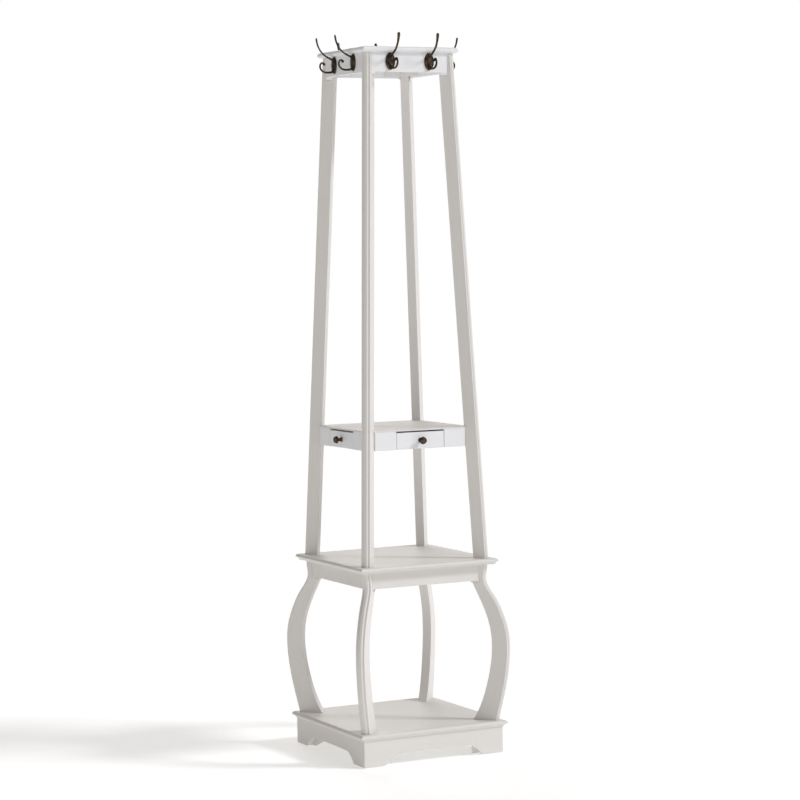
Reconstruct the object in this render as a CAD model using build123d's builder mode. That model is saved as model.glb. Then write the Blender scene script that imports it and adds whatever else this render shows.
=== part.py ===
from build123d import *
from math import cos, radians, sin, sqrt
import os

os.makedirs("parts", exist_ok=True)

# Free-standing hall tree: a square plinth, four bowed legs, a shelf, four leaning posts that carry
# a tier of small drawers, and a top frame with eight double coat hooks.
# Millimetres, +Z up. The origin is on the floor, under the middle of the plinth. The front is -Y.

SIDES = {"front": 270, "right": 0, "back": 90, "left": 180}
CORNERS = {"front_left": 225, "front_right": 315, "back_right": 45, "back_left": 135}

# Plinth and base board
PLINTH_WIDTH = 398.0
PLINTH_BOTTOM = 2.0
PLINTH_TOP = 68.0
SKIRT_THICKNESS = 15.0
BRACKET_WIDTH = 57.0
BRACKET_CURVE = [(2.8, 2.9), (5, 5), (15, 14.5), (38, 29)]  # inwards from the toe of a foot, and height
ARCH_HEIGHT = 31.0
BASE_WIDTH = 418.0
BASE_TOP = 85.0
BASE_INSETS = (7.0, 9.0)  # how far the moulding steps back over and under its nose
GLIDE_HEIGHT = 4.0
GLIDE_RADIUS = 12.0
GLIDE_RADIAL = 238.0

# Bowed legs: boards that stand on the diagonals, so their outlines are radius against height
BOARD_THICKNESS = 23.0
BEAD_WIDTH = 13.0
BEAD_HEIGHT = 4.0
BEADED_BOARD = [(0.0, BEAD_WIDTH, 4.5), (BEAD_HEIGHT, BOARD_THICKNESS, 1.5)]  # setback, thickness, round
LEG_TOP = 488.0
LEG_OUTER = [(272, 85), (288, 150), (303.5, 250), (300, 320), (286, 364), (266, 404), (243, 452),
             (244.5, 466), (246, 488)]
LEG_INNER = [(207, 85), (227, 124), (245, 180), (258.5, 260), (255, 325), (243, 366), (221, 416), (207, 446)]
LEG_TOP_INNER = 205.5

# Shelf
RAIL_BOTTOM = 446.0
RAIL_FACE = 169.0
RAIL_THICKNESS = 15.0
RAIL_EAR = 6.0
SHELF_WIDTH = 392.0
SHELF_TOP = 503.0
SHELF_INSETS = (6.0, 7.0)

# Leaning posts
POST_WIDTH = 36.0
POST_FOOT_INNER = 213.0
POST_LEAN = 0.0577
POST_TOP = 1793.0

# Drawer tier
TIER_FACE = 150.0
TIER_BOTTOM = 792.0
TIER_TOP = 842.0
FASCIA_THICKNESS = 12.0
PANEL_THICKNESS = 4.0
PANEL_BOTTOM = TIER_BOTTOM + 1.0
DRAWER_WIDTH = 135.0
DRAWER_GAP = 1.0
DRAWER_TOP_GAP = 3.5
DRAWER_LIFT = 0.2
DRAWER_CHAMFER = 0.8
BOX_WIDTH = 120.0
BOX_HEIGHT = 31.0
BOX_BACK = 66.0
BOX_BOARD = 7.0
RUNNING_GAP = 0.4
GLUE_GAP = 0.1
GUIDE_BACK = 74.0
GUIDE_SIZE = (8.0, 16.0)
KNOB_HEIGHT = 813.5
KNOB_FOOT = 6.5
KNOB_BORE = 9.0
KNOB_REACH = 20.0
KNOB_PROFILE = [(1.5, KNOB_FOOT), (5.5, 3.8), (9.5, 4.8), (12.3, 8.3), (15.3, 9.5), (18.6, 6.6),
                (KNOB_REACH, 0)]

# Top frame
APRON_BOTTOM = 1744.0
APRON_FACE = 124.0
APRON_THICKNESS = 12.0
APRON_EAR = 9.0
TOP_WIDTH = 269.5
TOP_TOP = 1807.0

# Coat hooks. Each prong is given by the distance from the apron and the height over the plate's middle,
# with the half width and half thickness at its root, its middle and its tip, and the radius of the tip's ball
HOOK_OFFSET = 55.0
HOOK_CENTRE = 1770.5
PLATE_RADII = (13.5, 22.0)
PLATE_THICKNESS = 3.5
PLATE_ROUND = 1.4
UPPER_PRONG = [(1.5, 14.5), (13, 17.5), (30, 26.5), (44, 42.5), (50, 65.5)]
UPPER_SECTIONS = ((3.6, 2.6), (3.0, 2.4), (3.8, 2.2))
UPPER_BALL = 4.0
LOWER_PRONG = [(1.5, -14.5), (14, -18.5), (30, -17.5), (41, -8.5), (40, 2.5), (31, 5.5)]
LOWER_SECTIONS = ((3.6, 2.6), (3.2, 2.6), (2.6, 2.6))
LOWER_BALL = 3.8

# Hardware
BOLT_RADIUS = 3.0
BOLT_HEAD = (5.5, 3.5)
STUD_RADIUS = 4.0
SCREW_RADIUS = 2.0
SCREW_HEAD = (4.0, 3.0)
SCREW_BELOW = 18.0
SCREW_ABOVE = 9.0
FOOT_SCREW_RADII = (234.0, 257.0)
FOOT_SCREW_TOP = 108.0
HOOK_SCREW_OFFSET = 7.0
HOOK_SCREW_RADIUS = 1.8
HOOK_SCREW_DEPTH = 8.0
HOOK_SCREW_HEAD = (3.2, 1.6)
KNOB_SCREW_RADIUS = 1.8
KNOB_SCREW_LENGTH = 20.0
DRILL_CLEARANCE = 0.1
TIP_CLEARANCE = 1.0

STUD_RADIAL = 228.0
STUD_SPAN = (474.0, 540.0)
UPWARDS = (Align.CENTER, Align.CENTER, Align.MIN)


def outward(angle):
    """Level unit vector that points away from the central axis."""
    return Vector(cos(radians(angle)), sin(radians(angle)), 0)


def upright_plane(angle, shift=0.0):
    """Upright plane through the axis: local x is the distance from the axis, local y is the height. The
    shift moves it sideways, along the face of that side."""
    out = outward(angle)
    return Plane(origin=(-out.Y * shift, out.X * shift, 0), x_dir=out, z_dir=(out.Y, -out.X, 0))


def level_plane(angle, height):
    """Level plane whose local x runs outwards and whose local y runs along the face of that side."""
    return Plane(origin=(0, 0, height), x_dir=outward(angle), z_dir=(0, 0, 1))


def face_plane(angle, distance, height=0.0, shift=0.0):
    """Upright plane that faces outwards: local x runs along the face, local y is the height."""
    out = outward(angle)
    origin = (out.X * distance - out.Y * shift, out.Y * distance + out.X * shift, height)
    return Plane(origin=origin, x_dir=(-out.Y, out.X, 0), z_dir=out)


def post_inner(height):
    """Distance from the axis to the inner edge of a leaning post."""
    return POST_FOOT_INNER - POST_LEAN * (height - SHELF_TOP)


def level_place(angle, height, radial, side=0.0):
    """Level plane with its origin at a distance from the axis and off to one side."""
    return Plane(level_plane(angle, height).from_local_coords((radial, side, 0)))


def drill(plane, radius, depth):
    """Cut a round hole that starts on the plane and follows its normal."""
    with Locations(plane):
        Cylinder(radius + DRILL_CLEARANCE, depth, align=UPWARDS, mode=Mode.SUBTRACT)


def outermost_pair(edges):
    """The two edges that lie farthest from the axis."""
    return edges.sort_by(lambda e: (e @ 0.5).X ** 2 + (e @ 0.5).Y ** 2)[-2:]


def write_node(piece, node):
    """Label a finished part and write its STEP file."""
    piece.part.label = node
    export_step(piece.part, f"parts/{node}.step")


# Corner blocks, tier by tier. reach: from the axis to the block's inner face; faces: from the axis to the
# boards it is glued to; screw: distance from the axis and sideways offset; bolt: height, and where it ends
BLOCKS = {
    "plinth": {"bottom": GLIDE_HEIGHT, "top": PLINTH_TOP, "reach": 212.0, "screw": (232.0, 20.0),
               "faces": PLINTH_WIDTH / 2 - SKIRT_THICKNESS},
    "shelf": {"bottom": RAIL_BOTTOM, "top": LEG_TOP, "reach": 178.0, "screw": (188.0, 16.0),
              "faces": RAIL_FACE - RAIL_THICKNESS, "bolt": 458.0, "bolt_end": 228.0},
    "drawer_tier": {"bottom": PANEL_BOTTOM + PANEL_THICKNESS, "top": TIER_TOP - PANEL_THICKNESS,
                    "reach": 165.0, "faces": TIER_FACE - FASCIA_THICKNESS, "bolt": 817.0, "bolt_end": 218.0},
    "top": {"bottom": APRON_BOTTOM + 4, "top": POST_TOP, "reach": 112.0, "screw": (124.0, 18.0),
            "faces": APRON_FACE - APRON_THICKNESS, "bolt": 1760.0, "bolt_end": 160.0},
}


def drill_bolt_hole(angle, data):
    """The level hole for a corner bolt, from the block's inner face outwards."""
    drill(face_plane(angle, data["reach"], data["bolt"]), BOLT_RADIUS, data["bolt_end"] - data["reach"])


def block_stop(tier, height):
    """Distance from the axis to the leg or post edge that a corner block bears on."""
    if tier == "plinth":
        return sqrt(2) * BLOCKS[tier]["faces"] - 0.5
    if tier == "shelf":
        return LEG_TOP_INNER
    return post_inner(height)


def corner_blocks(tier):
    """Four blocks that fill the corners of a frame, bored for their bolts and screws."""
    data = BLOCKS[tier]
    corner = sqrt(2) * data["faces"]
    stop = max(block_stop(tier, data["bottom"]), block_stop(tier, data["top"]))
    half = BOARD_THICKNESS / 2
    if tier == "plinth":
        half = corner - stop
    shoulder = min(stop, corner - half)
    with BuildPart() as blocks:
        for angle in CORNERS.values():
            with BuildSketch(level_plane(angle, data["bottom"])):
                with BuildLine():
                    heel = (data["reach"], corner - data["reach"])
                    bend = (shoulder, corner - shoulder)
                    tip = (stop, half)
                    ends = [heel, tip] if tier == "plinth" else [heel, bend, tip]
                    Polyline(*[(x, -y) for x, y in ends], *reversed(ends), close=True)
                make_face()
            extrude(amount=data["top"] - data["bottom"])
            if tier in ("drawer_tier", "top"):
                with BuildSketch(upright_plane(angle)):
                    with BuildLine():
                        Polyline((block_stop(tier, data["bottom"]), data["bottom"]),
                                 (block_stop(tier, data["top"]), data["top"]),
                                 (corner + stop, data["top"]), (corner + stop, data["bottom"]), close=True)
                    make_face()
                extrude(amount=BOARD_THICKNESS * 2, both=True, mode=Mode.SUBTRACT)
            if "bolt" in data:
                drill_bolt_hole(angle, data)
            if "screw" in data:
                radial, offset = data["screw"]
                for side in (-offset, offset):
                    place = level_place(angle, data["bottom"], radial, side)
                    drill(place, SCREW_RADIUS, data["top"] - data["bottom"])
                    drill(place, SCREW_HEAD[0], data["top"] - SCREW_BELOW - data["bottom"])
    return blocks


def screw_places(tier, drop=0.0):
    """Level planes where the screws of a tier's corner blocks enter the board above, or lower down."""
    radial, offset = BLOCKS[tier]["screw"]
    height = BLOCKS[tier]["top"] - drop
    return [level_place(angle, height, radial, side)
            for angle in CORNERS.values() for side in (-offset, offset)]


# --- Plinth: four mitred skirts with bracket feet under a shallow arch
half = PLINTH_WIDTH / 2
inner = half - SKIRT_THICKNESS
toe = half - BRACKET_WIDTH
round_over, slope_start, slope_end, arch_start = [(toe - x, height) for x, height in BRACKET_CURVE]
arch_middle = (arch_start[0] / 2, ARCH_HEIGHT - 0.5)
for side, angle in SIDES.items():
    with BuildPart() as skirt:
        with BuildSketch(face_plane(angle, half)):
            with BuildLine():
                Line((0, PLINTH_TOP), (half, PLINTH_TOP))
                Line((half, PLINTH_TOP), (half, PLINTH_BOTTOM))
                Line((half, PLINTH_BOTTOM), (toe, PLINTH_BOTTOM))
                ThreePointArc((toe, PLINTH_BOTTOM), round_over, slope_start)
                slope = Line(slope_start, slope_end)
                TangentArc(slope_end, arch_start, tangent=slope % 1)
                ThreePointArc(arch_start, arch_middle, (0, ARCH_HEIGHT))
                mirror(about=Plane.YZ)
            make_face()
        extrude(amount=-SKIRT_THICKNESS)
        with BuildSketch(level_plane(angle, 0)):
            with BuildLine():
                Polyline((inner, -inner), (half, -half), (half, half), (inner, inner), close=True)
            make_face()
        extrude(amount=PLINTH_TOP, mode=Mode.INTERSECT)
    write_node(skirt, f"plinth_skirt_{side}")

write_node(corner_blocks("plinth"), "plinth_corner_blocks")

with BuildPart() as floor_glides:
    for angle in CORNERS.values():
        with Locations(level_place(angle, 0, GLIDE_RADIAL)):
            Cylinder(GLIDE_RADIUS, GLIDE_HEIGHT, align=UPWARDS)
write_node(floor_glides, "floor_glides")


def moulded_board(width, bottom, top, insets):
    """Square board: from the under edge a hollow sweeps out to a narrow nose that rolls over to the top."""
    edge = width / 2
    top_edge, under_edge = edge - insets[0], edge - insets[1]
    nose_low = bottom + 0.5 * (top - bottom)
    nose_high = nose_low + 0.12 * (top - bottom)
    hollow = (under_edge + 0.38 * insets[1], bottom + 0.62 * (nose_low - bottom))
    roll = (top_edge + 0.65 * insets[0], top - 0.3 * (top - nose_high))
    with BuildPart() as board:
        for plane, mode in ((Plane.XZ, Mode.ADD), (Plane.YZ, Mode.INTERSECT)):
            with BuildSketch(plane):
                with BuildLine():
                    Line((0, bottom), (under_edge, bottom))
                    ThreePointArc((under_edge, bottom), hollow, (edge, nose_low))
                    Line((edge, nose_low), (edge, nose_high))
                    ThreePointArc((edge, nose_high), roll, (top_edge, top))
                    Line((top_edge, top), (0, top))
                    mirror(about=Plane.YZ)
                make_face()
            extrude(amount=edge, both=True, mode=mode)
    return board


base_board = moulded_board(BASE_WIDTH, PLINTH_TOP, BASE_TOP, BASE_INSETS)
with base_board:
    for place in screw_places("plinth"):
        drill(place, SCREW_RADIUS, SCREW_ABOVE)
    for angle in CORNERS.values():
        for radial in FOOT_SCREW_RADII:
            place = level_place(angle, PLINTH_TOP, radial)
            drill(place, SCREW_RADIUS, BASE_TOP - PLINTH_TOP)
            drill(place, SCREW_HEAD[0], SCREW_HEAD[1])
write_node(base_board, "base_board")

# --- Legs: bowed boards with a bead along the outer edge
for corner, angle in CORNERS.items():
    with BuildPart() as leg:
        for setback, thickness, rounding in BEADED_BOARD:
            with BuildSketch(upright_plane(angle)):
                with BuildLine():
                    edge = Spline(*[(radial - setback, height) for radial, height in LEG_OUTER])
                    Line(edge @ 1, (LEG_TOP_INNER, LEG_TOP))
                    Line((LEG_TOP_INNER, LEG_TOP), (LEG_TOP_INNER, LEG_INNER[-1][1]))
                    Line((LEG_TOP_INNER, LEG_INNER[-1][1]), LEG_INNER[-1])
                    Spline(*reversed(LEG_INNER))
                    Line(LEG_INNER[0], edge @ 0)
                make_face()
            extrude(amount=thickness / 2, both=True)
            long_edges = leg.edges(Select.LAST).filter_by(GeomType.BSPLINE)
            fillet(outermost_pair(long_edges), radius=rounding)
        for radial in FOOT_SCREW_RADII:
            drill(level_place(angle, BASE_TOP, radial), SCREW_RADIUS, FOOT_SCREW_TOP - BASE_TOP)
        drill(level_place(angle, STUD_SPAN[0], STUD_RADIAL), STUD_RADIUS, LEG_TOP - STUD_SPAN[0])
        drill_bolt_hole(angle, BLOCKS["shelf"])
    write_node(leg, f"leg_{corner}")


# --- Rails and aprons: level boards whose mitred ends butt on the side faces of the legs or posts
MITRE_SETBACK = sqrt(2) * BOARD_THICKNESS / 2 + DRILL_CLEARANCE / 2


def cross_rail(angle, face, thickness, bottom, top, ear):
    """A rail between two legs or posts, with a small round ear under each end."""
    inner = face - thickness
    quarter = ear * (1 - sqrt(0.5))
    with BuildPart() as rail:
        with BuildSketch(face_plane(angle, face)):
            with Locations((0, (bottom + top) / 2)):
                Rectangle(2 * face, top - bottom)
        extrude(amount=-thickness)
        for turn in (-45, 45):
            corner = outward(angle + turn)
            across = Vector(corner.Y, -corner.X, 0) * (1 if turn > 0 else -1)
            seat = across * (BOARD_THICKNESS / 2) + corner * (face * sqrt(2)) + Vector(0, 0, bottom)
            with BuildSketch(Plane(origin=seat, x_dir=across, z_dir=across.cross(Vector(0, 0, 1)))):
                with BuildLine():
                    Line((0, 1), (0, -ear))
                    ThreePointArc((0, -ear), (quarter, -quarter), (ear, 0))
                    Line((ear, 0), (ear, 1))
                    Line((ear, 1), (0, 1))
                make_face()
            extrude(amount=face, both=True)
        with BuildSketch(level_plane(angle, bottom - ear)):
            with BuildLine():
                Polyline((inner, MITRE_SETBACK - inner), (face, MITRE_SETBACK - face),
                         (face, face - MITRE_SETBACK), (inner, inner - MITRE_SETBACK), close=True)
            make_face()
        extrude(amount=top - bottom + ear, mode=Mode.INTERSECT)
    return rail


for side, angle in SIDES.items():
    shelf_rail = cross_rail(angle, RAIL_FACE, RAIL_THICKNESS, RAIL_BOTTOM, LEG_TOP, RAIL_EAR)
    write_node(shelf_rail, f"shelf_rail_{side}")
    apron = cross_rail(angle, APRON_FACE, APRON_THICKNESS, APRON_BOTTOM, POST_TOP, APRON_EAR)
    with apron:
        for shift in (-HOOK_OFFSET, HOOK_OFFSET):
            for lift in (-HOOK_SCREW_OFFSET, HOOK_SCREW_OFFSET):
                depth = HOOK_SCREW_DEPTH + TIP_CLEARANCE
                place = face_plane(angle, APRON_FACE - depth, HOOK_CENTRE + lift, shift)
                drill(place, HOOK_SCREW_RADIUS, depth)
    write_node(apron, f"top_apron_{side}")

write_node(corner_blocks("shelf"), "shelf_corner_blocks")
write_node(corner_blocks("top"), "top_corner_blocks")

shelf_board = moulded_board(SHELF_WIDTH, LEG_TOP, SHELF_TOP, SHELF_INSETS)
with shelf_board:
    for place in screw_places("shelf"):
        drill(place, SCREW_RADIUS, SCREW_ABOVE)
    for angle in CORNERS.values():
        drill(level_place(angle, LEG_TOP, STUD_RADIAL), STUD_RADIUS, SHELF_TOP - LEG_TOP)
write_node(shelf_board, "shelf_board")

# --- Posts: straight boards on the diagonals that lean in, beaded like the legs
foot, head = post_inner(SHELF_TOP), post_inner(POST_TOP)
for corner, angle in CORNERS.items():
    with BuildPart() as post:
        for setback, thickness, rounding in BEADED_BOARD:
            width = POST_WIDTH - setback
            with BuildSketch(upright_plane(angle)):
                with BuildLine():
                    Polyline((foot, SHELF_TOP), (foot + width, SHELF_TOP), (head + width, POST_TOP),
                             (head, POST_TOP), close=True)
                make_face()
            extrude(amount=thickness / 2, both=True)
            long_edges = post.edges(Select.LAST).filter_by(lambda e: e.length > POST_TOP - SHELF_TOP)
            fillet(outermost_pair(long_edges), radius=rounding)
        drill(level_place(angle, SHELF_TOP, STUD_RADIAL), STUD_RADIUS, STUD_SPAN[1] - SHELF_TOP)
        for tier in ("drawer_tier", "top"):
            drill_bolt_hole(angle, BLOCKS[tier])
    write_node(post, f"post_{corner}")

# --- Top board: square, with a half-round nose
with BuildPart() as top_board:
    nose = (TOP_TOP - POST_TOP) / 2
    flat = TOP_WIDTH / 2 - nose
    for plane, mode in ((Plane.XZ, Mode.ADD), (Plane.YZ, Mode.INTERSECT)):
        with BuildSketch(plane):
            with BuildLine():
                Line((0, POST_TOP), (flat, POST_TOP))
                ThreePointArc((flat, POST_TOP), (flat + nose, POST_TOP + nose), (flat, TOP_TOP))
                Line((flat, TOP_TOP), (0, TOP_TOP))
                mirror(about=Plane.YZ)
            make_face()
        extrude(amount=TOP_WIDTH / 2, both=True, mode=mode)
    for place in screw_places("top"):
        drill(place, SCREW_RADIUS, SCREW_ABOVE)
write_node(top_board, "top_board")


# --- Drawer tier: two thin panels, fascias in the corners and a shallow drawer on each side
def tier_panel(width, bottom):
    """Square panel notched at its corners around the posts."""
    notch = post_inner(TIER_TOP) - DRILL_CLEARANCE
    with BuildPart() as panel:
        with BuildSketch(Plane.XY.offset(bottom)):
            Rectangle(width, width)
            with PolarLocations(notch, 4, start_angle=45):
                Rectangle(width, BOARD_THICKNESS + 2 * DRILL_CLEARANCE, align=(Align.MIN, Align.CENTER),
                          mode=Mode.SUBTRACT)
        extrude(amount=PANEL_THICKNESS)
    return panel


TIER_INNER = TIER_FACE - FASCIA_THICKNESS
PANEL_SETBACK = 0.5
TIER_FLOOR = PANEL_BOTTOM + PANEL_THICKNESS
BOX_BOTTOM = TIER_FLOOR + RUNNING_GAP
BOX_INSIDE = BOX_WIDTH - 2 * BOX_BOARD - 2 * GLUE_GAP
FRONT_BOTTOM = TIER_BOTTOM + DRAWER_LIFT
FRONT_HEIGHT = TIER_TOP - PANEL_THICKNESS - DRAWER_TOP_GAP - FRONT_BOTTOM
FASCIA_NOSE = (5.0, 4.0)

write_node(tier_panel(2 * TIER_FACE, TIER_TOP - PANEL_THICKNESS), "tier_top")
write_node(tier_panel(2 * (TIER_INNER - PANEL_SETBACK), PANEL_BOTTOM), "tier_bottom")
write_node(corner_blocks("drawer_tier"), "tier_corner_blocks")

for side, angle in SIDES.items():
    opening = DRAWER_WIDTH / 2 + DRAWER_GAP
    end = TIER_FACE - MITRE_SETBACK
    with BuildPart() as fascia:
        for way in (-1, 1):
            with BuildSketch(level_plane(angle, TIER_BOTTOM)):
                with BuildLine():
                    Polyline((TIER_INNER, way * opening), (TIER_FACE, way * opening),
                             (TIER_FACE, way * (end - FASCIA_NOSE[0])),
                             (TIER_FACE - FASCIA_NOSE[1], way * (end - FASCIA_NOSE[1])),
                             (TIER_INNER, way * (TIER_INNER - MITRE_SETBACK)), close=True)
                make_face()
        extrude(amount=TIER_TOP - PANEL_THICKNESS - TIER_BOTTOM)
    write_node(fascia, f"fascia_{side}")

    with BuildPart() as drawer_front:
        with BuildSketch(face_plane(angle, TIER_FACE, FRONT_BOTTOM)):
            Rectangle(DRAWER_WIDTH, FRONT_HEIGHT, align=(Align.CENTER, Align.MIN))
        extrude(amount=-FASCIA_THICKNESS)
        front_edges = drawer_front.edges().group_by(Axis((0, 0, 0), tuple(outward(angle))))[-1]
        chamfer(front_edges, length=DRAWER_CHAMFER)
        drill(face_plane(angle, TIER_INNER, KNOB_HEIGHT), KNOB_SCREW_RADIUS, FASCIA_THICKNESS)
        drill(face_plane(angle, TIER_INNER, KNOB_HEIGHT), SCREW_HEAD[0], SCREW_HEAD[1])
    write_node(drawer_front, f"drawer_front_{side}")

    with BuildPart() as drawer_box:
        with BuildSketch(level_plane(angle, BOX_BOTTOM)):
            for way, inwards in ((-1, Align.MIN), (1, Align.MAX)):
                with Locations((BOX_BACK, way * BOX_WIDTH / 2)):
                    Rectangle(TIER_INNER - BOX_BACK, BOX_BOARD, align=(Align.MIN, inwards))
            with Locations((BOX_BACK, 0)):
                Rectangle(BOX_BOARD, BOX_INSIDE, align=(Align.MIN, Align.CENTER))
        extrude(amount=BOX_HEIGHT)
        bottom_back = BOX_BACK + BOX_BOARD + GLUE_GAP
        with BuildSketch(level_plane(angle, BOX_BOTTOM)):
            with Locations((bottom_back, 0)):
                Rectangle(TIER_INNER - bottom_back, BOX_INSIDE, align=(Align.MIN, Align.CENTER))
        extrude(amount=PANEL_THICKNESS)
    write_node(drawer_box, f"drawer_box_{side}")

    with BuildPart() as knob:
        bore = KNOB_HEIGHT + KNOB_SCREW_RADIUS + DRILL_CLEARANCE
        bore_end = TIER_FACE + KNOB_BORE
        profile = [(TIER_FACE + reach, KNOB_HEIGHT + radius) for reach, radius in KNOB_PROFILE]
        with BuildSketch(upright_plane(angle)):
            with BuildLine():
                Polyline(profile[-1], (bore_end, KNOB_HEIGHT), (bore_end, bore), (TIER_FACE, bore),
                         (TIER_FACE, KNOB_HEIGHT + KNOB_FOOT), profile[0])
                Spline(*profile, tangents=[(0.3, -1), (0, -1)])
            make_face()
        revolve(axis=Axis((0, 0, KNOB_HEIGHT), tuple(outward(angle))))
        with Locations(face_plane(angle, TIER_INNER, KNOB_HEIGHT)):
            Cylinder(SCREW_HEAD[0], SCREW_HEAD[1], align=UPWARDS)
            Cylinder(KNOB_SCREW_RADIUS, KNOB_SCREW_LENGTH, align=UPWARDS)
    write_node(knob, f"knob_{side}")

with BuildPart() as drawer_guides:
    for angle in SIDES.values():
        with BuildSketch(level_plane(angle, TIER_FLOOR)):
            for way, outwards in ((-1, Align.MAX), (1, Align.MIN)):
                with Locations((GUIDE_BACK, way * (BOX_WIDTH / 2 + RUNNING_GAP))):
                    length = TIER_INNER - PANEL_SETBACK - GUIDE_BACK
                    Rectangle(length, GUIDE_SIZE[0], align=(Align.MIN, outwards))
        extrude(amount=GUIDE_SIZE[1])
write_node(drawer_guides, "drawer_guides")


# --- Coat hooks: an oval plate, a tall upper prong and a curled lower one
def tapered_prong(plane, points, sizes, ball_radius):
    """An oval bar swept along a smooth line through the points, with a ball on its tip."""
    with BuildLine(plane) as path:
        Spline(*[(APRON_FACE + reach, HOOK_CENTRE + rise) for reach, rise in points])
    line = path.line
    sections = []
    for share, (across, through) in zip((0, 0.5, 1), sizes):
        with BuildSketch(Plane(origin=line @ share, x_dir=plane.z_dir, z_dir=line % share)) as section:
            Ellipse(across, through)
        sections.append(section.sketch.face())
    sweep(sections=sections, path=line, multisection=True)
    with Locations(line @ 1):
        Sphere(ball_radius)


for side, angle in SIDES.items():
    for hand, shift in (("left", -HOOK_OFFSET), ("right", HOOK_OFFSET)):
        plane = upright_plane(angle, shift)
        with BuildPart() as hook:
            with BuildSketch(face_plane(angle, APRON_FACE, HOOK_CENTRE, shift)):
                Ellipse(*PLATE_RADII)
            extrude(amount=PLATE_THICKNESS)
            rim = hook.edges().group_by(Axis((0, 0, 0), tuple(outward(angle))))[-1]
            fillet(rim, radius=PLATE_ROUND)
            for lift in (-HOOK_SCREW_OFFSET, HOOK_SCREW_OFFSET):
                place = face_plane(angle, APRON_FACE, HOOK_CENTRE + lift, shift)
                drill(place, HOOK_SCREW_RADIUS, PLATE_THICKNESS)
            tapered_prong(plane, UPPER_PRONG, UPPER_SECTIONS, UPPER_BALL)
            tapered_prong(plane, LOWER_PRONG, LOWER_SECTIONS, LOWER_BALL)
        write_node(hook, f"hook_{side}_{hand}")

# --- Hardware
with BuildPart() as hook_screws:
    for angle in SIDES.values():
        for shift in (-HOOK_OFFSET, HOOK_OFFSET):
            for lift in (-HOOK_SCREW_OFFSET, HOOK_SCREW_OFFSET):
                height = HOOK_CENTRE + lift
                with Locations(face_plane(angle, APRON_FACE - HOOK_SCREW_DEPTH, height, shift)):
                    Cylinder(HOOK_SCREW_RADIUS, HOOK_SCREW_DEPTH + PLATE_THICKNESS, align=UPWARDS)
                with Locations(face_plane(angle, APRON_FACE + PLATE_THICKNESS, height, shift)):
                    Cylinder(*HOOK_SCREW_HEAD, align=UPWARDS)
write_node(hook_screws, "hook_screws")

with BuildPart() as block_screws:
    for tier in ("plinth", "shelf", "top"):
        with Locations(*screw_places(tier, SCREW_BELOW)):
            Cylinder(SCREW_RADIUS, SCREW_BELOW + SCREW_ABOVE - TIP_CLEARANCE, align=UPWARDS)
        with Locations(*screw_places(tier, SCREW_BELOW + SCREW_HEAD[1])):
            Cylinder(*SCREW_HEAD, align=UPWARDS)
write_node(block_screws, "block_screws")

with BuildPart() as foot_screws:
    for angle in CORNERS.values():
        for radial in FOOT_SCREW_RADII:
            with Locations(level_place(angle, PLINTH_TOP, radial)):
                Cylinder(*SCREW_HEAD, align=UPWARDS)
                Cylinder(SCREW_RADIUS, FOOT_SCREW_TOP - PLINTH_TOP - TIP_CLEARANCE, align=UPWARDS)
write_node(foot_screws, "foot_screws")

with BuildPart() as post_studs:
    for angle in CORNERS.values():
        with Locations(level_place(angle, STUD_SPAN[0], STUD_RADIAL)):
            Cylinder(STUD_RADIUS, STUD_SPAN[1] - STUD_SPAN[0], align=UPWARDS)
write_node(post_studs, "post_studs")

with BuildPart() as corner_bolts:
    for angle in CORNERS.values():
        for tier in ("shelf", "drawer_tier", "top"):
            data = BLOCKS[tier]
            with Locations(face_plane(angle, data["reach"], data["bolt"])):
                Cylinder(BOLT_RADIUS, data["bolt_end"] - data["reach"], align=UPWARDS)
            with Locations(face_plane(angle, data["reach"] - BOLT_HEAD[1], data["bolt"])):
                Cylinder(*BOLT_HEAD, align=UPWARDS)
write_node(corner_bolts, "corner_bolts")
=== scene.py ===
from math import cos, pi, radians, sin

import bmesh
import bpy
from mathutils import Matrix, Vector


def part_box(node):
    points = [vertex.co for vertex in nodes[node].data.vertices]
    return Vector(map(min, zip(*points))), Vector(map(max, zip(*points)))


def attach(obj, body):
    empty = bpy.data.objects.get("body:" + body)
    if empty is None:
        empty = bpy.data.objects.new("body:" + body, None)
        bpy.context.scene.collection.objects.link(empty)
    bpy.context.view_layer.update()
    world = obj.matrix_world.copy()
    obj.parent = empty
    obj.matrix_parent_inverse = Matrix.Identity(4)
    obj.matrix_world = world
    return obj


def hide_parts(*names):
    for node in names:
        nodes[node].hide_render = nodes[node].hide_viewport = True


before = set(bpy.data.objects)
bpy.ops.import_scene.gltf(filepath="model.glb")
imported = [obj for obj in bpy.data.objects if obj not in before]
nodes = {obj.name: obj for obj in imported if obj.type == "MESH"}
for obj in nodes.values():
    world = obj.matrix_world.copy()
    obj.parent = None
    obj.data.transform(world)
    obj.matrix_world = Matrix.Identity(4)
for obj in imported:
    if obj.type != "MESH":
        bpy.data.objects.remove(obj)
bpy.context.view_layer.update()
scene = bpy.context.scene
scene.view_settings.view_transform = "Standard"

SIDES = {"front": -90.0, "right": 0.0, "back": 90.0, "left": 180.0}

# ---------------------------------------------------------------- camera
# A long lens a little above the middle of the stand, turned about 27 degrees from the front.
CAMERA_PLACE = Vector((-3.0232, -5.9575, 1.322))
CAMERA_TURN, CAMERA_TILT, CAMERA_ROLL = radians(-26.8), radians(-3.54), radians(-0.98)
LENS = 116.44
SENSOR_WIDTH = 36.0
SHIFT_X = 0.0146

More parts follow.
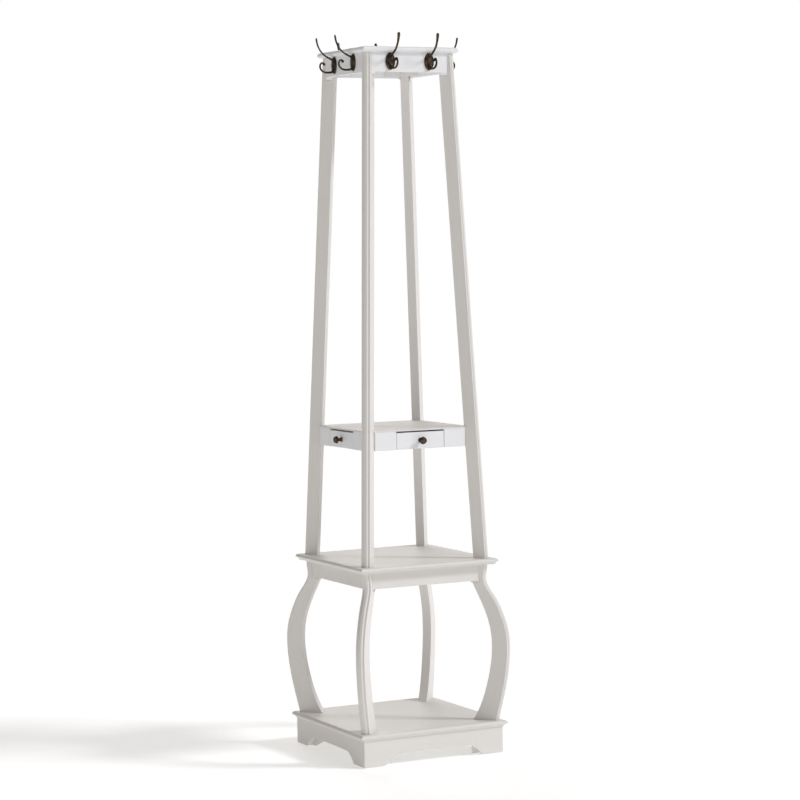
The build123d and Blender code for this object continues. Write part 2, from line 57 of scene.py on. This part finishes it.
level_forward = Vector((-sin(CAMERA_TURN), cos(CAMERA_TURN), 0))
forward = cos(CAMERA_TILT) * level_forward + Vector((0, 0, sin(CAMERA_TILT)))
level_right = Vector((cos(CAMERA_TURN), sin(CAMERA_TURN), 0))
level_up = level_right.cross(forward)
right = cos(CAMERA_ROLL) * level_right + sin(CAMERA_ROLL) * level_up
up = cos(CAMERA_ROLL) * level_up - sin(CAMERA_ROLL) * level_right
camera_data = bpy.data.cameras.new("camera")
camera_data.lens = LENS
camera_data.sensor_width = SENSOR_WIDTH
camera_data.shift_x = SHIFT_X
camera = bpy.data.objects.new("camera", camera_data)
camera.matrix_world = Matrix.Translation(CAMERA_PLACE) @ Matrix((right, up, -forward)).transposed().to_4x4()
scene.collection.objects.link(camera)
scene.camera = camera

# ---------------------------------------------------------------- light and floor


def sun(name, towards, strength, spread, colour):
    """A soft sun lamp that shines from the given direction."""
    data = bpy.data.lights.new(name, "SUN")
    data.energy = strength
    data.angle = radians(spread)
    data.color = colour
    lamp = bpy.data.objects.new(name, data)
    lamp.rotation_euler = Vector(towards).to_track_quat("Z", "Y").to_euler()
    scene.collection.objects.link(lamp)


sun("key_light", (25, -20, 23), 1.55, 11, (0.97, 0.985, 1.0))
sun("back_light", (8, 31, 17), 0.62, 30, (1.0, 0.99, 0.97))

# The studio is bright on the camera's right and dim and warm on its left; the camera itself sees white.
world = bpy.data.worlds.new("studio")
scene.world = world
world.use_nodes = True
tree = world.node_tree
tree.nodes.clear()
coordinates = tree.nodes.new("ShaderNodeTexCoord")
lean = tree.nodes.new("ShaderNodeVectorMath")
lean.operation = "DOT_PRODUCT"
lean.inputs[1].default_value = (0.6, -0.8, 0.0)
across = tree.nodes.new("ShaderNodeMapRange")
across.inputs["From Min"].default_value = -1.0
ramp = tree.nodes.new("ShaderNodeValToRGB")
ramp.color_ramp.elements[0].color = (0.19, 0.165, 0.145, 1)
ramp.color_ramp.elements[1].color = (0.53, 0.525, 0.52, 1)
sky = tree.nodes.new("ShaderNodeBackground")
backdrop = tree.nodes.new("ShaderNodeBackground")
backdrop.inputs["Color"].default_value = (1, 1, 1, 1)
rays = tree.nodes.new("ShaderNodeLightPath")
mix = tree.nodes.new("ShaderNodeMixShader")
output = tree.nodes.new("ShaderNodeOutputWorld")
tree.links.new(coordinates.outputs["Generated"], lean.inputs[0])
tree.links.new(lean.outputs["Value"], across.inputs["Value"])
tree.links.new(across.outputs["Result"], ramp.inputs["Fac"])
tree.links.new(ramp.outputs["Color"], sky.inputs["Color"])
tree.links.new(rays.outputs["Is Camera Ray"], mix.inputs["Fac"])
tree.links.new(sky.outputs[0], mix.inputs[1])
tree.links.new(backdrop.outputs[0], mix.inputs[2])
tree.links.new(mix.outputs[0], output.inputs["Surface"])

FLOOR_HALF = 40.0
floor_mesh = bpy.data.meshes.new("floor")
floor_mesh.from_pydata([(x, y, 0) for x, y in ((-1, -1), (1, -1), (1, 1), (-1, 1))], [], [(0, 1, 2, 3)])
floor_mesh.transform(Matrix.Diagonal((FLOOR_HALF, FLOOR_HALF, 1, 1)))
floor = bpy.data.objects.new("floor", floor_mesh)
scene.collection.objects.link(floor)
floor_paint = bpy.data.materials.new("floor")
floor_paint.use_nodes = True
floor_shader = floor_paint.node_tree.nodes["Principled BSDF"]
floor_shader.inputs["Base Color"].default_value = (0.90, 0.90, 0.90, 1)
floor_shader.inputs["Roughness"].default_value = 0.9
floor_shader.inputs["Emission Color"].default_value = (1, 1, 1, 1)
floor_shader.inputs["Emission Strength"].default_value = 0.36
floor_mesh.materials.append(floor_paint)

# ---------------------------------------------------------------- materials


class Recipe:
    """A Principled material whose inputs are fed by procedural nodes in object coordinates."""

    def __init__(self, name):
        self.material = bpy.data.materials.new(name)
        self.material.use_nodes = True
        self.tree = self.material.node_tree
        self.shader = self.tree.nodes["Principled BSDF"]
        self.place = self.add("ShaderNodeTexCoord").outputs["Object"]

    def add(self, kind, **values):
        node = self.tree.nodes.new(kind)
        for key, value in values.items():
            setattr(node, key, value)
        return node

    def feed(self, socket, value):
        """Link an output to a socket, or set the socket to a plain value."""
        if isinstance(value, bpy.types.NodeSocket):
            self.tree.links.new(value, socket)
        else:
            socket.default_value = value

    def scaled(self, scale):
        mapping = self.add("ShaderNodeMapping")
        self.feed(mapping.inputs["Vector"], self.place)
        mapping.inputs["Scale"].default_value = scale
        return mapping.outputs["Vector"]

    def noise(self, scale, detail=3.0, rough=0.5, stretch=(1, 1, 1)):
        node = self.add("ShaderNodeTexNoise")
        self.feed(node.inputs["Vector"], self.scaled(stretch))
        node.inputs["Scale"].default_value = scale
        node.inputs["Detail"].default_value = detail
        node.inputs["Roughness"].default_value = rough
        return node.outputs["Fac"]

    def span(self, value, low, high, to_low=0.0, to_high=1.0, smooth=False):
        """Map low..high of a value to to_low..to_high."""
        kind = "SMOOTHSTEP" if smooth else "LINEAR"
        node = self.add("ShaderNodeMapRange", interpolation_type=kind)
        for socket, given in zip(node.inputs, (value, low, high, to_low, to_high)):
            self.feed(socket, given)
        return node.outputs["Result"]

    def math(self, operation, a, b):
        node = self.add("ShaderNodeMath", operation=operation)
        self.feed(node.inputs[0], a)
        self.feed(node.inputs[1], b)
        return node.outputs[0]

    def blend(self, share, first, second):
        """Mix two colours by a share."""
        node = self.add("ShaderNodeMix", data_type="RGBA")
        self.feed(node.inputs["Factor"], share)
        for socket, colour in ((node.inputs[6], first), (node.inputs[7], second)):
            self.feed(socket, colour if isinstance(colour, bpy.types.NodeSocket) else (*colour, 1))
        return node.outputs[2]

    def soft_edges(self, radius):
        """The normal with its arrises rounded over, and a mask that is 1 on them."""
        bevel = self.add("ShaderNodeBevel", samples=4)
        bevel.inputs["Radius"].default_value = radius
        geometry = self.add("ShaderNodeNewGeometry")
        dot = self.add("ShaderNodeVectorMath", operation="DOT_PRODUCT")
        self.feed(dot.inputs[0], bevel.outputs["Normal"])
        self.feed(dot.inputs[1], geometry.outputs["Normal"])
        mask = self.span(dot.outputs["Value"], 0.995, 0.80, smooth=True)
        return bevel.outputs["Normal"], mask

    def bump(self, height, strength, distance, normal=None):
        node = self.add("ShaderNodeBump")
        node.inputs["Strength"].default_value = strength
        node.inputs["Distance"].default_value = distance
        self.feed(node.inputs["Height"], height)
        if normal is not None:
            self.feed(node.inputs["Normal"], normal)
        return node.outputs["Normal"]

    def finish(self, colour, roughness, normal):
        self.feed(self.shader.inputs["Base Color"], colour)
        self.feed(self.shader.inputs["Roughness"], roughness)
        self.feed(self.shader.inputs["Normal"], normal)
        return self.material


GRAIN = {"x": (1.2, 26, 26), "y": (26, 1.2, 26), "z": (26, 26, 1.2)}


def paint(name, grain, colour, shade):
    """Satin paint over wood: brushed along the grain, faint clouds, and edges where the coat runs thin."""
    recipe = Recipe(name)
    normal, edge = recipe.soft_edges(0.0012)
    strokes = recipe.noise(9.0, 5.0, 0.62, GRAIN[grain])
    clouds = recipe.noise(3.2, 2.0)
    peel = recipe.noise(620.0, 2.0)
    tone = recipe.blend(recipe.span(clouds, 0.35, 0.65, 0.0, 0.55), colour, shade)
    tone = recipe.blend(recipe.span(strokes, 0.42, 0.60, 0.0, 0.16), tone, shade)
    handling = recipe.span(recipe.noise(38.0, 4.0, 0.6), 0.50, 0.72, smooth=True)
    rub = recipe.math("MULTIPLY", edge, handling)
    tone = recipe.blend(recipe.math("MULTIPLY", rub, 0.45), tone, (0.60, 0.54, 0.45))
    satin = recipe.span(strokes, 0.3, 0.7, 0.44, 0.56)
    roughness = recipe.math("ADD", satin, recipe.math("MULTIPLY", rub, 0.12))
    brushed = recipe.bump(strokes, 0.22, 0.0005, normal)
    return recipe.finish(tone, roughness, recipe.bump(peel, 0.05, 0.0002, brushed))


def bare_wood(name, grain):
    """Unpainted softwood: growth rings along the board and fine pores."""
    recipe = Recipe(name)
    normal, edge = recipe.soft_edges(0.0006)
    bend = recipe.noise(4.0, 3.0, 0.5, tuple(0.4 * value for value in GRAIN[grain]))
    rings = recipe.add("ShaderNodeMath", operation="SINE")
    recipe.feed(rings.inputs[0], recipe.math("MULTIPLY", bend, 60.0))
    pores = recipe.noise(30.0, 6.0, 0.7, GRAIN[grain])
    late_wood = recipe.span(rings.outputs[0], -1.0, 1.0)
    tone = recipe.blend(late_wood, (0.60, 0.43, 0.26), (0.71, 0.55, 0.36))
    tone = recipe.blend(recipe.span(pores, 0.52, 0.72, 0.0, 0.5), tone, (0.42, 0.28, 0.15))
    tone = recipe.blend(recipe.math("MULTIPLY", edge, 0.3), tone, (0.78, 0.64, 0.46))
    roughness = recipe.span(pores, 0.3, 0.7, 0.55, 0.72)
    return recipe.finish(tone, roughness, recipe.bump(pores, 0.25, 0.0004, normal))


def bronze(name):
    """Dark antique bronze: near-black in the hollows, rubbed to warm metal on the high spots."""
    recipe = Recipe(name)
    normal, edge = recipe.soft_edges(0.0009)
    patches = recipe.noise(85.0, 4.0, 0.6)
    cast = recipe.noise(900.0, 3.0, 0.6)
    worn = recipe.span(patches, 0.40, 0.66, smooth=True)
    tone = recipe.blend(worn, (0.030, 0.023, 0.018), (0.115, 0.078, 0.048))
    rubbed = recipe.math("MULTIPLY", edge, recipe.span(patches, 0.30, 0.60, 0.35, 1.0))
    tone = recipe.blend(rubbed, tone, (0.42, 0.27, 0.15))
    recipe.shader.inputs["Metallic"].default_value = 0.85
    sandy = recipe.span(cast, 0.3, 0.7, 0.36, 0.56)
    roughness = recipe.math("SUBTRACT", sandy, recipe.math("MULTIPLY", rubbed, 0.12))
    return recipe.finish(tone, roughness, recipe.bump(cast, 0.18, 0.0002, normal))


def zinc(name):
    """Bright zinc plate with a faint crystal pattern."""
    recipe = Recipe(name)
    normal, edge = recipe.soft_edges(0.0004)
    spangle = recipe.add("ShaderNodeTexVoronoi")
    recipe.feed(spangle.inputs["Vector"], recipe.place)
    spangle.inputs["Scale"].default_value = 400.0
    value = spangle.outputs["Distance"]
    tone = recipe.blend(recipe.span(value, 0.0, 0.8), (0.55, 0.56, 0.57), (0.70, 0.70, 0.68))
    tone = recipe.blend(recipe.math("MULTIPLY", edge, 0.5), tone, (0.80, 0.80, 0.78))
    recipe.shader.inputs["Metallic"].default_value = 1.0
    roughness = recipe.span(value, 0.0, 0.8, 0.28, 0.42)
    return recipe.finish(tone, roughness, recipe.bump(value, 0.08, 0.0001, normal))


def plastic(name):
    """Moulded off-white plastic, scuffed at the rim."""
    recipe = Recipe(name)
    normal, edge = recipe.soft_edges(0.0008)
    grain = recipe.noise(500.0, 2.0)
    tone = recipe.blend(recipe.math("MULTIPLY", edge, 0.6), (0.72, 0.71, 0.67), (0.45, 0.43, 0.40))
    roughness = recipe.span(grain, 0.3, 0.7, 0.48, 0.60)
    return recipe.finish(tone, roughness, recipe.bump(grain, 0.12, 0.0002, normal))


WARM_WHITE, WARM_SHADE = (0.742, 0.722, 0.699), (0.700, 0.679, 0.653)
# The second white is the same paint made lighter and bluer: painted light for the aprons, fascias, drawer
# fronts and top board.
LIT_COPY_WHITE, LIT_COPY_SHADE = (0.820, 0.826, 0.845), (0.785, 0.790, 0.808)
warm = {axis: paint(f"warm_white_paint_{axis}", axis, WARM_WHITE, WARM_SHADE) for axis in GRAIN}
lit_copy_paint = {axis: paint(f"lit_copy_white_paint_{axis}", axis, LIT_COPY_WHITE, LIT_COPY_SHADE) for axis in "xy"}
wood = {axis: bare_wood(f"bare_wood_{axis}", axis) for axis in GRAIN}
bronze_finish = bronze("antique_bronze")
zinc_finish = zinc("zinc_plate")
plastic_finish = plastic("glide_plastic")


def dress(node, material):
    """Give a CAD node its finish."""
    nodes[node].data.materials.clear()
    nodes[node].data.materials.append(material)


for side in SIDES:
    along = "x" if side in ("front", "back") else "y"
    for node in (f"plinth_skirt_{side}", f"shelf_rail_{side}"):
        dress(node, warm[along])
    # Aprons, fascias and drawer fronts take the lighter copy of the paint, which is painted light.
    for node in (f"top_apron_{side}", f"fascia_{side}", f"drawer_front_{side}"):
        dress(node, lit_copy_paint[along])
    dress(f"drawer_box_{side}", wood[along])
    dress(f"knob_{side}", bronze_finish)
for corner in ("front_left", "front_right", "back_right", "back_left"):
    dress(f"leg_{corner}", warm["z"])
    dress(f"post_{corner}", warm["z"])
for node in ("base_board", "shelf_board", "tier_top"):
    dress(node, warm["x"])
# The top board takes the lighter copy of the paint, which is painted light.
dress("top_board", lit_copy_paint["x"])
for node in ("plinth_corner_blocks", "shelf_corner_blocks", "top_corner_blocks"):
    dress(node, warm["z"])
dress("tier_bottom", warm["x"])
for node in ("tier_corner_blocks", "drawer_guides"):
    dress(node, wood["z"])
dress("hook_screws", bronze_finish)
dress("floor_glides", plastic_finish)
for node in ("block_screws", "foot_screws", "post_studs", "corner_bolts"):
    dress(node, zinc_finish)

# ---------------------------------------------------------------- cast hooks
# Millimetres. Each station of a prong: distance from the apron's face, height over the plate's middle,
# half width and half thickness.
HOOK_CENTRE = 1770.5
UPPER_PRONG = [(0.5, 13.0, 5.2, 4.4), (7, 14.8, 4.3, 3.4), (15, 18.0, 3.4, 2.6), (26, 23.8, 2.9, 2.3),
               (37, 33.2, 2.8, 2.1), (45, 45.5, 3.0, 2.0), (48.8, 57, 3.8, 1.9), (50.2, 65, 4.2, 1.7),
               (50.6, 68.6, 2.4, 1.2)]
LOWER_PRONG = [(0.5, -13.0, 5.2, 4.4), (8, -17.0, 4.0, 3.2), (18, -18.6, 3.3, 2.6), (30, -17.4, 3.0, 2.5),
               (38.5, -11.4, 2.8, 2.4), (41.4, -3, 2.6, 2.3), (38.6, 4.4, 2.5, 2.3), (33, 5.8, 2.5, 2.3),
               (30, 2.6, 2.4, 2.3)]
SCROLL_BALL = (30.2, 2.4, 3.7)
# Rings of the plate from its middle to its rim: share of the oval's radii, and height off the apron.
PLATE_RINGS = [(0.30, 3.6), (0.52, 3.3), (0.66, 2.5), (0.74, 2.2), (0.81, 3.2), (0.89, 3.7), (0.96, 2.9),
               (1.0, 0.9), (1.0, 0.0)]
PLATE_HALF_WIDTH, PLATE_HALF_HEIGHT = 13.5, 22.0
PRONG_POINTS = 20
PLATE_POINTS = 48
MELT_SIZE = 0.6
MILLIMETRE = 0.001


def smooth_stations(stations, steps=6):
    """Catmull-Rom samples through the stations."""
    ends = [stations[0], *stations, stations[-1]]
    samples = []
    for a, b, c, d in zip(ends, ends[1:], ends[2:], ends[3:]):
        for step in range(steps):
            t = step / steps
            samples.append([0.5 * (2 * q + (r - p) * t + (2 * p - 5 * q + 4 * r - s) * t * t
                                   + (3 * q - p - 3 * r + s) * t ** 3) for p, q, r, s in zip(a, b, c, d)])
    samples.append(list(stations[-1]))
    return samples


def oval(bm, middle, across, through, points):
    """A ring of vertices around the middle; across and through are the oval's half axes as vectors."""
    turns = [2 * pi * k / points for k in range(points)]
    return [bm.verts.new(middle + across * cos(turn) + through * sin(turn)) for turn in turns]


def skin(bm, rings):
    """A closed body: quads between one ring of vertices and the next, and a face at each end."""
    for first, second in zip(rings, rings[1:]):
        for k in range(len(first)):
            n = (k + 1) % len(first)
            bm.faces.new((first[k], second[k], second[n], first[n]))
    bm.faces.new(rings[0])
    bm.faces.new(reversed(rings[-1]))


def prong(bm, stations):
    """An oval bar along the stations."""
    samples = smooth_stations(stations)
    rings = []
    for index, (x, z, across, through) in enumerate(samples):
        before, after = samples[max(index - 1, 0)], samples[min(index + 1, len(samples) - 1)]
        along = Vector((after[0] - before[0], 0, after[1] - before[1])).normalized()
        sideways = Vector((0, 1, 0))
        outwards = along.cross(sideways)
        rings.append(oval(bm, Vector((x, 0, z)), sideways * across, outwards * through, PRONG_POINTS))
    skin(bm, rings)


def plate(bm):
    """The dished oval back plate with its raised rim."""
    width, height = Vector((0, PLATE_HALF_WIDTH, 0)), Vector((0, 0, PLATE_HALF_HEIGHT))
    skin(bm, [oval(bm, Vector((rise, 0, 0)), width * share, height * share, PLATE_POINTS)
              for share, rise in PLATE_RINGS])


def cast_hook():
    """One hook: its parts are melted together, which leaves the soft fillets of a casting."""
    bm = bmesh.new()
    plate(bm)
    prong(bm, UPPER_PRONG)
    prong(bm, LOWER_PRONG)
    ball_x, ball_z, ball_radius = SCROLL_BALL
    ball_place = Matrix.Translation((ball_x, 0, ball_z))
    bmesh.ops.create_icosphere(bm, subdivisions=3, radius=ball_radius, matrix=ball_place)
    bmesh.ops.recalc_face_normals(bm, faces=bm.faces)
    rough = bpy.data.meshes.new("rough_hook")
    bm.to_mesh(rough)
    bm.free()
    rough_hook = bpy.data.objects.new("rough_hook", rough)
    scene.collection.objects.link(rough_hook)
    remesh = rough_hook.modifiers.new("melt", "REMESH")
    remesh.mode = "VOXEL"
    remesh.voxel_size = MELT_SIZE
    relax = rough_hook.modifiers.new("relax", "SMOOTH")
    relax.factor, relax.iterations = 0.5, 4
    bpy.context.view_layer.update()
    melted = rough_hook.evaluated_get(bpy.context.evaluated_depsgraph_get())
    mesh = bpy.data.meshes.new_from_object(melted)
    bpy.data.objects.remove(rough_hook)
    mesh.name = "cast_hook"
    mesh.transform(Matrix.Scale(MILLIMETRE, 4))
    mesh.shade_smooth()
    return mesh


def hang_hooks(material):
    """Put a cast hook in the place of each CAD hook."""
    mesh = cast_hook()
    mesh.materials.clear()
    mesh.materials.append(material)
    for side, angle in SIDES.items():
        turn = Matrix.Rotation(radians(angle), 4, "Z")
        for hand in ("left", "right"):
            node = f"hook_{side}_{hand}"
            low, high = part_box(node)
            middle = turn.inverted() @ ((low + high) / 2)
            apron_low, apron_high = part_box(f"top_apron_{side}")
            face = max((turn.inverted() @ apron_low).x, (turn.inverted() @ apron_high).x)
            hook = bpy.data.objects.new(f"cast_{node}", mesh.copy())
            hook.data.transform(turn @ Matrix.Translation((face, middle.y, HOOK_CENTRE * MILLIMETRE)))
            scene.collection.objects.link(hook)
            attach(hook, "frame")
            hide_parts(node)


hang_hooks(bronze_finish)
